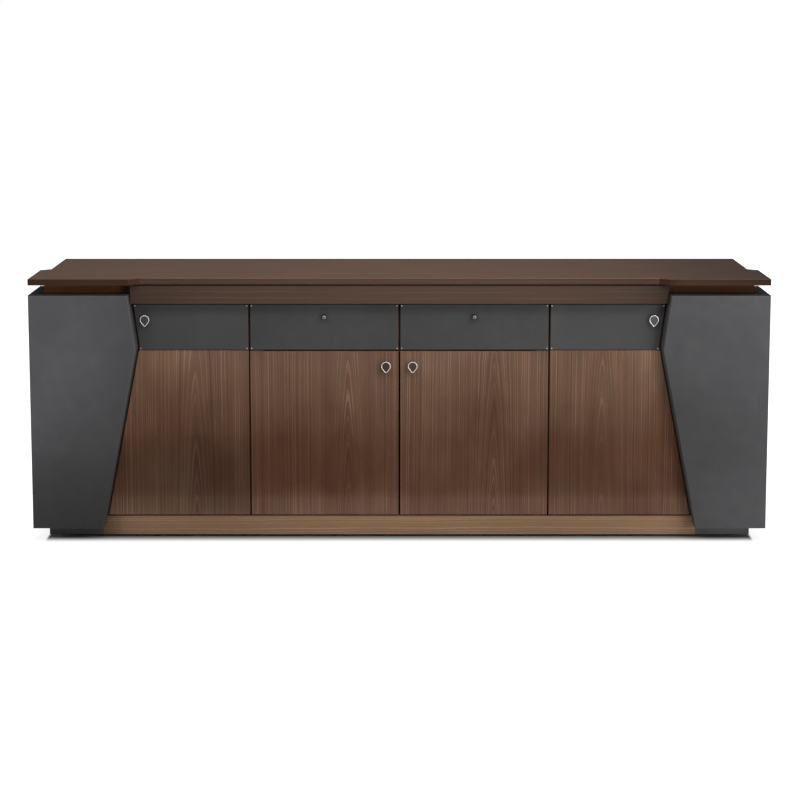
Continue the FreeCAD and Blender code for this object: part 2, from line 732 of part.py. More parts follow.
def save_pair(name, solids):
    """Save right-hand solids, and their mirror image as the left-hand sub-part."""
    save(name + "_right", solids)
    save(name + "_left", [mirrored(solid) for solid in solids])


def save_carcass():
    save("worktop", worktop())
    save("apron", apron())
    save("riser_frame", riser_frame())
    save("carcass_top", carcass_top())
    save("carcass_bottom", carcass_bottom())
    save_pair("carcass_side", carcass_side())
    save_pair("partition", partition())
    save("back_panels", back_panels())
    save("corner_panels", corner_panels())
    save("drawer_deck", drawer_deck())
    save("drawer_divider", drawer_divider())
    save("shelves", shelves())
    save("shelf_supports", shelf_supports())
    save("plinth_fascia", plinth_fascia())
    save("plinth_frame", plinth_frame())
    save("glides", glides())


def save_pillars():
    save_pair("pillar_front", [pillar_front()])
    save_pair("pillar_side", [pillar_side()])
    save_pair("pillar_return", [pillar_return()])
    save("pillar_battens", pillar_battens())


def save_doors():
    save("pivot_plates", pivot_plates())
    save("magnetic_catches", magnetic_catches())
    save_pair("outer_door", [outer_leaf()])
    save_pair("outer_door_face", [outer_face()])
    save_pair("outer_door_pull", [pull(*outer_pull_place(), PLATE_FRONT)])
    save_pair("outer_door_fittings", outer_fittings())
    save_pair("centre_door", [centre_leaf()])
    save_pair("centre_door_pull", [pull(CENTRE_PULL_X, DOORS_TOP - CENTRE_PULL_DROP, FRONT_DEPTH)])
    save_pair("centre_door_fittings", centre_fittings())


def save_drawers():
    save("cabinet_slides", both_sides(cabinet_slides()))
    save_pair("middle_slides", middle_slides())
    save_pair("drawer_front", [drawer_front()])
    save_pair("drawer_face", [drawer_face()])
    save_pair("drawer_knob", [knob()])
    save_pair("drawer_box", drawer_box())
    save_pair("drawer_slides", drawer_slides())


os.makedirs("parts", exist_ok=True)
save_carcass()
save_pillars()
save_doors()
save_drawers()
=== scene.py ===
"""The looks of an office credenza: finishes, door pulls, knobs, screws, stage, light and camera."""
import json
import math

import bmesh
import bpy
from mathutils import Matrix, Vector


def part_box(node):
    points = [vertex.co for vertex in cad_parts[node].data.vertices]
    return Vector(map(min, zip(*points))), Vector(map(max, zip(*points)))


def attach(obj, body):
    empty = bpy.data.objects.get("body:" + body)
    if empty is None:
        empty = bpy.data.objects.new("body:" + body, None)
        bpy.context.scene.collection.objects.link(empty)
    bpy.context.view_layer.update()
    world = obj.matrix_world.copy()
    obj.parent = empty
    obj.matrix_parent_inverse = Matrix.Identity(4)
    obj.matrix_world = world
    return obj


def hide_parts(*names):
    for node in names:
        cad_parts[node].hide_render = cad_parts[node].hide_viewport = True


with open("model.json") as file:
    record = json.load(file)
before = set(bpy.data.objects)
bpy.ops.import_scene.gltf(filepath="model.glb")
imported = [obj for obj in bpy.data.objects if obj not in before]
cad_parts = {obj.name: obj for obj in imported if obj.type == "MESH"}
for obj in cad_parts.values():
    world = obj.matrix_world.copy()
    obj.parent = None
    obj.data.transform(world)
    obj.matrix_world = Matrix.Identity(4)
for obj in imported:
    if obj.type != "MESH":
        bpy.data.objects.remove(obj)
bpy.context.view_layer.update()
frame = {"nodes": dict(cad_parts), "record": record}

MM = 0.001
SIDES = {"left": -1, "right": 1}       # and the direction of each side along X

# Camera: the photograph's viewing angle
CAMERA_Y = -5.431
CAMERA_Z = 1.574
CAMERA_PITCH = 6.681           # degrees below the horizon
CAMERA_LENS = 80.13
CAMERA_SENSOR = 36.0
CAMERA_SHIFT_X = 0.00084
CAMERA_SHIFT_Y = -0.22

# Stage and light
WORLD_STRENGTH = 0.20
FLOOR_HALF = 40.0
FLOOR_TONE = 0.5               # for the light that it throws back
FLOOR_PAINTED_SHADOW = 0.22            # darker where the camera sees it, painted shade that deepens the real shadow
BESIDE_STRETCH = 6.0           # the glow, and with it the end of the painted shadow, comes this many times sooner beside the piece
FLOOR_GLOWS_AND_PAINTED_SHADOW = [                # the distances between which each glow sets in, and its strength; the near one paints the shadow's falloff by the plinth
    (0.0, 0.06, 0.86),
    (0.1, 1.0, 0.4),
]
LAMPS = [                      # name, place, goal, width, height, power
    ("strip", (0.0, -1.1, 1.75), (0.0, -0.1, 0.5), 3.0, 0.5, 20),
    ("key", (2.2, -2.0, 2.2), (0.3, -0.1, 0.4), 1.6, 1.6, 40),
    ("fill", (2.2, -3.2, 0.6), (0.3, -0.1, 0.4), 1.4, 0.8, 30),
    ("overhead", (0.0, 0.2, 2.8), (0.0, 0.0, 0.4), 3.0, 1.5, 30),
    ("back", (0.0, 3.4, 0.48), (0.0, 0.2, 0.44), 3.2, 0.5, 70),
    ("side_left", (-3.6, 0.7, 0.48), (-1.0, 0.1, 0.44), 1.2, 0.5, 35),
    ("side_right", (3.6, 0.7, 0.48), (1.0, 0.1, 0.44), 1.2, 0.5, 22),
]

# Colours, linear
TOP_TONE = (0.069, 0.039, 0.025)
APRON_TONE = (0.062, 0.037, 0.026)
# the riser's front, painted lighter against the worktop's shadow over it
RISER_PAINTED_LIGHT_TONE = (0.115, 0.047, 0.022)
DOOR_DEEP = (0.066, 0.028, 0.0145)     # the veneer's own tone, where no sheen is painted
DOOR_PAINTED_SHEEN = (0.145, 0.083, 0.054)      # painted sheen: the veneer lightened as by the lacquer's reflection
# lighter than the other walnut: partly its own finish, partly painted sheen
PLINTH_TONE_AND_PAINTED_SHEEN = (0.245, 0.148, 0.088)
CARCASS_TONE = (0.080, 0.042, 0.025)
BIRCH = (0.42, 0.30, 0.19)
CHARCOAL = (0.060, 0.060, 0.063)
PLATE_CHARCOAL = (0.046, 0.046, 0.047)
# darker and warmer than the pillars' leather, as painted shade
RETURN_PAINTED_SHADE_CHARCOAL = (0.038, 0.032, 0.029)
# painted shade on the faces inside the pillars
INSIDE_PAINTED_SHADE = (0.012, 0.011, 0.011)
UPPER_PAINTED_SHADE = (0.004, 0.004, 0.004)       # painted shade on the upper faces of the leather panels, near black
CHROME_TONE = (0.44, 0.42, 0.40)
DARK_CHROME_TONE = (0.095, 0.095, 0.095)
SCREW_TONE = (0.30, 0.30, 0.30)
STEEL_TONE = (0.55, 0.55, 0.56)
PIVOT_TONE = (0.035, 0.033, 0.031)
FRAME_BLACK = (0.045, 0.041, 0.041)
GLIDE_BLACK = (0.010, 0.010, 0.010)
CATCH_BLACK = (0.03, 0.03, 0.03)
# each pull's inlay painted in the tone of the face around it, lighter on the right where more light falls
INLAY_PAINTED_TONES = {
    "outer_door_pull_left": (0.048, 0.050, 0.049),
    "outer_door_pull_right": (0.080, 0.080, 0.084),
    "centre_door_pull_left": (0.044, 0.031, 0.021),
    "centre_door_pull_right": (0.064, 0.035, 0.027),
}
DRAWER_FACING_PAINTED_SHADE = 0.78             # painted shade: the drawers' facings darker than the doors'

# Tints, against the veneer's own tone
LIGHT_TINT = (1.9, 2.15, 2.4)          # pale lines, worn edges, and the painted highlight on the worktop's bevel
DARK_TINT = (0.60, 0.54, 0.50)         # seams and pores
WARM_TINT = (1.03, 0.98, 0.96)
OLIVE_TINT = (0.98, 1.01, 1.0)
RISER_REAR = (0.50, 0.62, 0.72)        # the riser's side and back faces, against its front with its painted light
PAINTED_EDGE_LIGHT = (1.12, 1.20, 1.38)        # painted light on the worktop's edges, against its flat
WING_PAINTED_SHADE = (0.58, 0.51, 0.44)        # painted shade on the worktop's edges over the pillars, against the others
STEP_PAINTED_SHADE = (0.66, 0.58, 0.51)        # painted shade on the worktop's slanted edges beside the pillars, against the others
ARRIS_PAINTED_HIGHLIGHT = (1.15, 1.15, 1.15)        # painted highlight on the upright edges of the pillars, against their faces
OUTER_ARRIS_PAINTED_LIGHT = {"left": 1.25, "right": 0.45}    # the same at the outer edges: painted highlight on the left, painted shade on the right

# Painted light and shade along the piece, (x, factor)
PAINTED_EDGE_LIGHT_ALONG = [
    (-1.10, 1.0), (-0.90, 1.06), (-0.80, 0.88), (-0.70, 0.84), (-0.40, 0.93), (0.20, 0.97), (0.55, 0.94),
    (0.70, 0.92), (0.80, 1.08), (0.90, 1.78), (1.10, 1.74),
]
TOP_PAINTED_LIGHT = [(-1.1, 1.0), (0.0, 1.06), (0.6, 0.90), (0.9, 0.56), (1.1, 0.42)]
APRON_PAINTED_LIGHT = [(-0.78, 0.74), (0.0, 1.13), (0.78, 0.46)]
RISER_PAINTED_LIGHT = [(-1.06, 1.85), (0.0, 1.0), (1.06, 0.74)]
PLINTH_PAINTED_LIGHT = [
    (-0.89, 0.42), (-0.85, 0.66), (-0.79, 0.90), (-0.60, 0.90), (0.0, 0.96), (0.60, 0.86), (0.80, 0.98),
    (0.89, 0.92),
]
FRAME_PAINTED_LIGHT = [(-1.05, 1.0), (0.0, 1.0), (0.80, 1.93), (1.05, 2.4)]
PILLAR_PAINTED_LIGHT_ACROSS = {
    "left": [(-1.10, 1.24), (-0.95, 1.0), (-0.80, 0.76)],
    "right": [(0.80, 0.88), (0.95, 1.0), (1.10, 1.20)],
}

# Painted light and shade up the piece, (height, factor); for the doors, the share of the painted sheen over
# the deep veneer tone.
DOOR_PAINTED_SHEEN_SHARE = [
    (0.06, 0.74), (0.11, 0.58), (0.16, 0.12), (0.24, 0.03), (0.35, 0.25), (0.48, 0.66), (0.58, 0.90),
    (0.72, 0.92),
]
# each door's brightness by height: partly veneer tone, partly painted light and shade
DOOR_TONE_AND_PAINTED_LIGHT = {
    "outer_door_left": [(0.06, 1.20), (0.13, 0.72), (0.22, 0.71), (0.36, 0.98), (0.72, 1.0)],
    "centre_door_left": [(0.06, 1.12), (0.14, 1.08), (0.35, 1.0), (0.50, 0.95), (0.72, 0.87)],
    "centre_door_right": [(0.06, 1.12), (0.14, 1.0), (0.35, 0.97), (0.50, 0.94), (0.72, 0.87)],
    "outer_door_right": [
        (0.06, 1.04), (0.13, 0.90), (0.25, 1.02), (0.35, 0.97), (0.50, 1.03), (0.72, 1.06),
    ],
}
PILLAR_PAINTED_LIGHT = {
    "left": [(0.04, 0.31), (0.15, 0.50), (0.35, 1.05), (0.55, 1.40), (0.75, 1.34)],
    "right": [(0.04, 0.82), (0.15, 0.80), (0.35, 0.63), (0.55, 0.83), (0.75, 0.82)],
}
# painted light at the facings' tops, lifting the apron's shadow
FACING_PAINTED_LIGHT = [(0.590, 1.0), (0.65, 1.0), (0.685, 1.03), (0.697, 1.18), (0.708, 1.42), (0.718, 1.6)]
# painted shade on the returns below the knee
RETURN_PAINTED_SHADE = [(0.04, 0.5), (0.56, 0.5), (0.61, 1.0), (0.76, 1.0)]

# Painted light on the tall doors beside their slanted outer edge, against the pillars' shadow, (distance,
# factor)
OUTER_EDGE_PAINTED_LIGHT = {
    "left": [(0.0, 1.35), (0.05, 1.24), (0.12, 1.16), (0.18, 0.98), (0.42, 0.94)],
    "right": [(0.0, 1.50), (0.02, 1.45), (0.045, 1.28), (0.075, 1.10), (0.12, 1.0), (0.42, 0.97)],
}

# Arched figure of the veneer, metres
ARCH_CENTRES = {               # x of the arches on each door
    "outer_door_left": -0.613,
    "centre_door_left": -0.157,
    "centre_door_right": 0.285,
    "outer_door_right": 0.613,
}
ARCH_CORE = 0.009              # rounding of the arch tips
ARCH_WIDTH = 0.045             # half width of the arched figure
ARCH_RISE = 0.065              # how fast the arches climb along the board
BOARD_MIDDLE = 0.30            # height about which the arches are spread
FIRST_DOOR_SEED = 0.2
DOOR_SEED_STEP = 0.61
SWAY = 0.022                   # long swing of the growth lines
WAVER = 0.0034                 # short swing of the growth lines

# Noise on the boards: scale along the grain as a share of that across, scale across, detail, roughness
SWAY_NOISE = (0.20, 4.0, 2.0, 0.5)
WAVER_NOISE = (0.20, 34.0, 2.0, 0.5)
CLOUD_NOISE = (0.5, 6.0, 3.0, 0.5)
HUE_NOISE = (0.5, 17.0, 2.0, 0.5)
BREAK_NOISE = (0.10, 30.0, 2.0, 0.5)
FIBRE_NOISE = (0.012, 900.0, 2.0, 0.6)
PORE_NOISE = (0.045, 760.0, 1.0, 0.5)
CLOUD_SHIFT = 4.0              # keeps the clouds, breaks and pores from following the sway
BREAK_SHIFT = 2.0
PORE_SHIFT = 9.0

# Growth lines: their number in a metre, and how strongly they show
BROAD_LINES = 45.0
FINE_LINES = 420.0
STREAK_LINES = 300.0
THREAD_LINES = 520.0
SEAM_LINES = 150.0
BROAD_DARKER = 0.09
BROAD_PALER = 0.08
FINE_SWING = 0.20
FIBRE_SWING = 0.16
CLOUD_SWING = 0.16
LINE_RANGE = (0.25, 0.75)      # noise values between which lines and fibres swing
CLOUD_RANGE = (0.3, 0.7)
HUE_RANGE = (0.35, 0.65)
STREAK_RANGE = (0.62, 0.70)    # noise values between which these set in
THREAD_RANGE = (0.60, 0.72)
SEAM_RANGE = (0.62, 0.74)
PORE_RANGE = (0.64, 0.76)
BREAK_RANGE = (0.35, 0.65)
BREAK_REST = 0.35              # share of the streaks and threads that stays at a break
STREAK_STRENGTH = 0.74
THREAD_STRENGTH = 0.46
SEAM_STRENGTH = 0.50
PORE_STRENGTH = 0.40
THREAD_OFFSET = 3.0            # keeps the threads and seams from following the streaks
SEAM_OFFSET = 7.0
SEED_SPREAD = 3.7              # shift among the growth lines from one seed to the next

# Slopes: parts of the surface normal between which a mask sets in, and for a band also goes out
END_SLOPES = (0.90, 0.92)                # end faces, along X
UPPER_SLOPES = (0.5, 0.9)                # upper faces, along Z
BEVEL_SLOPES = (0.5, 0.68, 0.74, 0.9)    # the worktop's upper bevel, along Z
WING_SLOPES = (-0.4, -0.68)              # the worktop's front edges with their bevels, along Y
STRAIGHT_SLOPES = (0.35, 0.25)           # edges that aren't slanted, along X
STEP_SLOPES = (0.25, 0.35, 0.65, 0.75)   # slanted edges, along X
STEP_FRONT_SLOPES = (-0.3, -0.5)         # slanted edges at the front, along Y
REAR_SLOPES = (-0.8, -0.2)               # all faces but the front ones, along Y
FRONT_SLOPES = (-0.5, -0.9)              # front faces, along Y
ARRIS_SLOPES = (0.1, 0.3, 0.90, 0.985)   # upright edges at the front, against -Y
OUTWARD_SLOPES = (0.1, 0.3)              # those that look outwards, along X
INSIDE_SHADE_SLOPES = (0.5, 0.8)               # faces inside the pillars, which carry painted shade, along their own direction

# Small measures of the finishes
LEATHER_CLOUDS = 3.0           # scales of the noise
LEATHER_MOTTLE = 26.0
METAL_SMUDGES = 60.0
METAL_SCRATCHES = 1800.0
PLASTIC_CLOUDS = 9.0
PLASTIC_TEXTURE = 900.0
PAINTED_SHEEN_DRIFT = 0.22             # how far clouds move a door's painted sheen, between the deep tone and the sheen colour
VENEER_ROUGHNESS = (0.40, 0.52)
LEATHER_ROUGHNESS = (0.46, 0.58)
VENEER_WEAR = 0.20             # how much paler the edges are worn
LEATHER_WEAR = 0.25
PLASTIC_WEAR = 0.4
CREASE_PAINTED_SHADE = 0.30            # painted shade: how much darker the leather's creases are
VENEER_EDGE = 0.8 * MM
LEATHER_EDGE = 1.2 * MM
PLASTIC_EDGE = 0.6 * MM
VENEER_RELIEF = 0.12 * MM
LEATHER_RELIEF = 0.06 * MM
METAL_RELIEF = 0.01 * MM
PLASTIC_RELIEF = 0.05 * MM
LEATHER_GRAIN = 1.3 * MM
PAINTED_SHADOW_LINE = (4.5 * MM, 1.5 * MM)        # a painted shadow line: under the facings the doors darken between these drops
PAINTED_SHADOW_TONE = 0.45
WING_SHADE_BAND = (10 * MM, 6 * MM)          # behind the worktop's front, where the wings' painted shade sets in


# ---- Shader building ----

def times(colour, factor):
    return tuple(value * factor for value in colour)


class Shader:
    """One node material with a Principled surface."""

    def __init__(self, name):
        self.material = bpy.data.materials.new(name)
        self.material.use_nodes = True
        self.tree = self.material.node_tree
        self.tree.nodes.clear()
        self.surface = self.add("ShaderNodeBsdfPrincipled")
        self.output = self.add("ShaderNodeOutputMaterial")
        self.link(self.surface.outputs["BSDF"], self.output.inputs["Surface"])

    def add(self, kind, **settings):
        node = self.tree.nodes.new(kind)
        for key, value in settings.items():
            setattr(node, key, value)
        return node

    def link(self, source, target):
        self.tree.links.new(source, target)

    def feed(self, target, value):
        """Connects a socket, or sets a constant, on an input socket."""
        if isinstance(value, bpy.types.NodeSocket):
            self.link(value, target)
        elif isinstance(value, tuple) and len(value) == 3 and target.type == "RGBA":
            target.default_value = (*value, 1.0)
        else:
            target.default_value = value

    def math(self, operation, a, b=None, clamp=False):
        node = self.add("ShaderNodeMath", operation=operation, use_clamp=clamp)
        self.feed(node.inputs[0], a)
        if b is not None:
            self.feed(node.inputs[1], b)
        return node.outputs[0]

    def product(self, value, *factors):
        for factor in factors:
            value = self.math("MULTIPLY", value, factor)
        return value

    def position(self):
        """Place on the piece as one vector and as x, y and z."""
        coordinates = self.add("ShaderNodeTexCoord")
        split = self.add("ShaderNodeSeparateXYZ")
        self.link(coordinates.outputs["Object"], split.inputs[0])
        return coordinates.outputs["Object"], split.outputs

    def facing(self):
        """Parts of the surface normal, in the piece's own axes."""
        coordinates = self.add("ShaderNodeTexCoord")
        split = self.add("ShaderNodeSeparateXYZ")
        self.link(coordinates.outputs["Normal"], split.inputs[0])
        return split.outputs

    def vector(self, x, y, z):
        node = self.add("ShaderNodeCombineXYZ")
        for socket, value in zip(node.inputs, (x, y, z)):
            self.feed(socket, value)
        return node.outputs[0]

    def dot(self, a, b):
        node = self.add("ShaderNodeVectorMath", operation="DOT_PRODUCT")
        self.feed(node.inputs[0], a)
        self.feed(node.inputs[1], b)
        return node.outputs["Value"]

    def noise(self, vector, scale, detail=2.0, roughness=0.5):
        node = self.add("ShaderNodeTexNoise")
        self.feed(node.inputs["Vector"], vector)
        node.inputs["Scale"].default_value = scale
        node.inputs["Detail"].default_value = detail
        node.inputs["Roughness"].default_value = roughness
        return node.outputs["Fac"]

    def noise_line(self, value, scale, detail=2.0, roughness=0.5):
        """Noise along a single number."""
        node = self.add("ShaderNodeTexNoise", noise_dimensions="1D")
        self.feed(node.inputs["W"], value)
        node.inputs["Scale"].default_value = scale
        node.inputs["Detail"].default_value = detail
        node.inputs["Roughness"].default_value = roughness
        return node.outputs["Fac"]

    def remap(self, value, low, high, to_low=0.0, to_high=1.0, smooth=True):
        kind = "SMOOTHSTEP" if smooth else "LINEAR"
        node = self.add("ShaderNodeMapRange", interpolation_type=kind)
        self.feed(node.inputs["Value"], value)
        node.inputs["From Min"].default_value = low
        node.inputs["From Max"].default_value = high
        node.inputs["To Min"].default_value = to_low
        node.inputs["To Max"].default_value = to_high
        return node.outputs["Result"]

    def band(self, value, start, full, last, end):
        """1 from full to last, and 0 below start and above end."""
        return self.product(self.remap(value, start, full), self.remap(value, end, last))

    def blend(self, factor, a, b):
        """From number a to number b."""
        node = self.add("ShaderNodeMix", data_type="FLOAT")
        self.feed(node.inputs["Factor"], factor)
        self.feed(node.inputs["A"], a)
        self.feed(node.inputs["B"], b)
        return node.outputs["Result"]

    def mix(self, factor, a, b, blend="MIX"):
        """From colour a to colour b."""
        node = self.add("ShaderNodeMix", data_type="RGBA", blend_type=blend)
        self.feed(node.inputs["Factor"], factor)
        self.feed(node.inputs["A"], a)
        self.feed(node.inputs["B"], b)
        return node.outputs["Result"]

    def tint(self, colour, tint, factor=1.0):
        """A colour times another one, where factor is 1."""
        tinted = self.mix(1.0, colour, tint, "MULTIPLY")
        if factor == 1.0:
            return tinted
        return self.mix(factor, colour, tinted)

    def scale(self, colour, factor):
        """A colour times a number."""
        node = self.add("ShaderNodeVectorMath", operation="SCALE")
        self.feed(node.inputs[0], colour)
        self.feed(node.inputs["Scale"], factor)
        return node.outputs[0]

    def profile(self, value, stations):
        """Smooth curve through (value, result) stations."""
        low = min(result for _, result in stations)
        high = max(result for _, result in stations)
        first, last = stations[0][0], stations[-1][0]
        node = self.add("ShaderNodeFloatCurve")
        curve = node.mapping.curves[0]
        while len(curve.points) < len(stations):
            curve.points.new(0.5, 0.5)
        for point, (at, result) in zip(curve.points, stations):
            point.location = ((at - first) / (last - first), (result - low) / (high - low))
        node.mapping.update()
        self.feed(node.inputs["Value"], self.remap(value, first, last, smooth=False))
        return self.remap(node.outputs[0], 0.0, 1.0, low, high, smooth=False)

    def edge_mask(self, radius):
        """The normal rounded at the edges, and 1 on edges narrower than radius, 0 on flat faces."""
        bevel = self.add("ShaderNodeBevel", samples=4)
        bevel.inputs["Radius"].default_value = radius
        rounded = bevel.outputs["Normal"]
        flat = self.add("ShaderNodeNewGeometry").outputs["Normal"]
        return rounded, self.remap(self.dot(rounded, flat), 0.995, 0.8)

    def bump(self, height, distance, strength, normal=None):
        node = self.add("ShaderNodeBump")
        node.inputs["Strength"].default_value = strength
        node.inputs["Distance"].default_value = distance
        self.link(height, node.inputs["Height"])
        if normal is not None:
            self.link(normal, node.inputs["Normal"])
        self.link(node.outputs["Normal"], self.surface.inputs["Normal"])

    def set(self, **values):
        """Feeds inputs of the surface, with _ for a space in their names."""
        for key, value in values.items():
            self.feed(self.surface.inputs[key.replace("_", " ")], value)


# ---- Walnut ----

class Board:
    """Places on a veneered board, along and across its grain.

    Where the grain runs along X, it turns round the corner and runs along Y on the end faces.
    """

    def __init__(self, shader, grain, seed):
        self.shader = shader
        self.seed = seed
        _, (self.x, self.y, self.z) = shader.position()
        if grain == "X":
            side_normal, _, _ = shader.facing()
            end = shader.remap(shader.math("ABSOLUTE", side_normal), *END_SLOPES)
            self.lengthwise = self.x
            self.along = shader.blend(end, self.x, self.y)
            self.across = shader.blend(end, shader.math("ADD", self.y, self.z), self.z)
        else:
            self.lengthwise = self.z
            self.along = self.z
            self.across = shader.math("ADD", self.y, self.x)
        self.shifted = shader.math("ADD", self.across, seed)

    def noise(self, pattern, shift=0.0):
        """Noise drawn out along the grain, by one of the patterns at the top."""
        stretch, scale, detail, roughness = pattern
        drawn = self.shader.product(self.along, stretch)
        place = self.shader.vector(self.shifted, drawn, self.seed + shift)
        return self.shader.noise(place, scale, detail, roughness)

    def rings(self, centre, rise, fineness, wave):
        """Place among the growth lines: straight at the sides, and a column of arches at centre."""
        shader = self.shader
        sway = shader.math("SUBTRACT", self.noise(SWAY_NOISE), 0.5)
        waver = shader.math("SUBTRACT", self.noise(WAVER_NOISE), 0.5)
        swayed = shader.math("ADD", self.across, shader.product(sway, SWAY))
        swayed = shader.math("ADD", swayed, shader.product(waver, WAVER * wave))
        offset = shader.math("SUBTRACT", swayed, centre)
        squared = shader.product(offset, offset)
        ring = shader.math("SQRT", shader.math("ADD", squared, ARCH_CORE ** 2))
        nearness = shader.math("EXPONENT", shader.product(squared, -1.0 / ARCH_WIDTH ** 2))
        height = shader.math("SUBTRACT", self.along, BOARD_MIDDLE)
        climb = shader.product(height, rise, nearness)
        ring = shader.product(shader.math("ADD", ring, climb), fineness)
        return shader.math("ADD", ring, self.seed * SEED_SPREAD)


def veneer_level(shader, ring, fibre, cloud, contrast):
    """Brightness of the broad and fine lines, the fibres and the clouds, about 1."""
    broad = shader.noise_line(ring, BROAD_LINES, roughness=0.6)
    fine = shader.noise_line(ring, FINE_LINES, roughness=0.7)
    darkest, palest = 1.0 - BROAD_DARKER * contrast, 1.0 + BROAD_PALER * contrast
    level = shader.remap(broad, *LINE_RANGE, darkest, palest, smooth=False)
    for pattern, span, swing in (
        (fine, LINE_RANGE, FINE_SWING), (fibre, LINE_RANGE, FIBRE_SWING), (cloud, CLOUD_RANGE, CLOUD_SWING),
    ):
        half = swing * contrast / 2
        level = shader.product(level, shader.remap(pattern, *span, 1.0 - half, 1.0 + half, smooth=False))
    return level


def veneer_lines(shader, board, ring, base, pore, contrast):
    """Colour with pale streaks and threads, dark seams and pores, and the pale colour by itself."""
    light = shader.tint(base, LIGHT_TINT)
    dark = shader.tint(base, DARK_TINT)
    streak = shader.noise_line(ring, STREAK_LINES, 0.0)
    thread = shader.noise_line(shader.math("ADD", ring, THREAD_OFFSET), THREAD_LINES, 0.0)
    seam = shader.noise_line(shader.math("ADD", ring, SEAM_OFFSET), SEAM_LINES, 1.0)
    breaks = shader.remap(board.noise(BREAK_NOISE, BREAK_SHIFT), *BREAK_RANGE, BREAK_REST, 1.0)
    streaks = shader.product(shader.remap(streak, *STREAK_RANGE, 0.0, STREAK_STRENGTH * contrast), breaks)
    threads = shader.product(shader.remap(thread, *THREAD_RANGE, 0.0, THREAD_STRENGTH * contrast), breaks)
    colour = shader.mix(streaks, base, light)
    colour = shader.mix(threads, colour, light)
    colour = shader.mix(shader.remap(seam, *SEAM_RANGE, 0.0, SEAM_STRENGTH * contrast), colour, dark)
    return shader.mix(shader.product(pore, PORE_STRENGTH), colour, dark), light


def outer_edge_painted_light(shader, board, line, stations):
    """Painted light by the distance from a slanted outer edge, as outer_edge_line gives it."""
    side, half_width, growth = line
    edge = shader.math("ADD", shader.product(board.z, growth), half_width)
    inside = shader.math("SUBTRACT", edge, shader.product(board.x, side))
    return shader.profile(inside, stations)


def worktop_painted_edges(shader, board, colour, light):
    """The worktop's edges: painted paler than the flat, painted shade on wings and steps, and a painted
    highlight on the upper bevel.
    """
    facing_side, facing_front, facing_up = shader.facing()
    aslant = shader.math("ABSOLUTE", facing_side)
    start, full = (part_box("worktop")[0].y + inset for inset in WING_SHADE_BAND)
    bevel = shader.band(facing_up, *BEVEL_SLOPES)
    wing = shader.product(
        shader.remap(facing_front, *WING_SLOPES),
        shader.remap(board.y, start, full),
        shader.remap(aslant, *STRAIGHT_SLOPES),
    )
    step = shader.product(shader.band(aslant, *STEP_SLOPES), shader.remap(facing_front, *STEP_FRONT_SLOPES))
    strip = shader.tint(shader.scale(colour, shader.profile(board.x, PAINTED_EDGE_LIGHT_ALONG)), PAINTED_EDGE_LIGHT)
    colour = shader.mix(shader.remap(facing_up, *reversed(UPPER_SLOPES)), colour, strip)
    # painted highlight on the upper bevel
    colour = shader.mix(bevel, colour, light)
    colour = shader.tint(colour, WING_PAINTED_SHADE, wing)
    return shader.tint(colour, STEP_PAINTED_SHADE, step)


def walnut(
    name, grain, tone, seed, centre=0.0, rise=0.0, sheen=0.09, contrast=1.0, fineness=1.0, wave=1.0,
    pale=None, shade=None, fade=None, rim=None, outer=None, rear=None, painted_edges=False,
):
    """Walnut veneer with its grain along X or Z, and a column of arches at centre.

    contrast, fineness and wave are factors for the lines' strength, number and swing.
    shade is a list of (height, share) pairs: how far the veneer goes from tone to pale, a painted sheen, at
    each height.
    fade is a list of (place along the grain, factor) pairs of painted light and shade, on the doors partly
    veneer tone.
    rim is the height under which the front has a thin painted shadow line.
    outer gives the line of a slanted outer edge and (distance, factor) pairs of painted light.
    rear is a tint for the faces that look to the sides and the back, which don't keep the front's painted
    light.
    strips: the worktop's edges carry painted light and shade, and a painted highlight on the upper bevel.
    """
    shader = Shader(name)
    board = Board(shader, grain, seed)
    ring = board.rings(centre, rise, fineness, wave)
    fibre = board.noise(FIBRE_NOISE)
    cloud = board.noise(CLOUD_NOISE, CLOUD_SHIFT)
    hue = board.noise(HUE_NOISE, CLOUD_SHIFT)
    pore = shader.remap(board.noise(PORE_NOISE, PORE_SHIFT), *PORE_RANGE)

    base = tone
    # painted sheen: the pale colour's share by height, moved about by clouds
    if shade:
        drift = shader.remap(cloud, *CLOUD_RANGE, -PAINTED_SHEEN_DRIFT, PAINTED_SHEEN_DRIFT, smooth=False)
        share = shader.math("ADD", shader.profile(board.z, shade), drift, clamp=True)
        base = shader.mix(share, tone, pale)
    warm, olive = shader.tint(base, WARM_TINT), shader.tint(base, OLIVE_TINT)
    base = shader.mix(shader.remap(hue, *HUE_RANGE), warm, olive)
    colour, light = veneer_lines(shader, board, ring, base, pore, contrast)

    level = veneer_level(shader, ring, fibre, cloud, contrast)
    # painted light and shade along the grain
    if fade:
        level = shader.product(level, shader.profile(board.lengthwise, fade))
    # a thin painted shadow line under the facings
    if rim:
        start, end = (rim - drop for drop in PAINTED_SHADOW_LINE)
        level = shader.product(level, shader.remap(board.z, start, end, 1.0, PAINTED_SHADOW_TONE))
    # painted light beside the slanted outer edge, against the pillar's shadow
    if outer:
        level = shader.product(level, outer_edge_painted_light(shader, board, *outer))
    colour = shader.scale(colour, level)

    soft_normal, worn = shader.edge_mask(VENEER_EDGE)
    colour = shader.mix(shader.product(worn, VENEER_WEAR), colour, light)
    # painted light and shade on the worktop's edges
    if painted_edges:
        colour = worktop_painted_edges(shader, board, colour, light)
    # the sides and back lose the riser front's painted light
    if rear:
        _, facing_front, _ = shader.facing()
        colour = shader.tint(colour, rear, shader.remap(facing_front, *REAR_SLOPES))

    rough = shader.remap(fibre, 0.2, 0.8, *VENEER_ROUGHNESS, smooth=False)
    shader.set(Base_Color=colour, Roughness=rough, Specular_IOR_Level=sheen)
    relief = shader.math("SUBTRACT", shader.product(fibre, 0.4), pore)
    shader.bump(relief, VENEER_RELIEF, 0.5, soft_normal)
    return shader.material


# ---- Leather ----

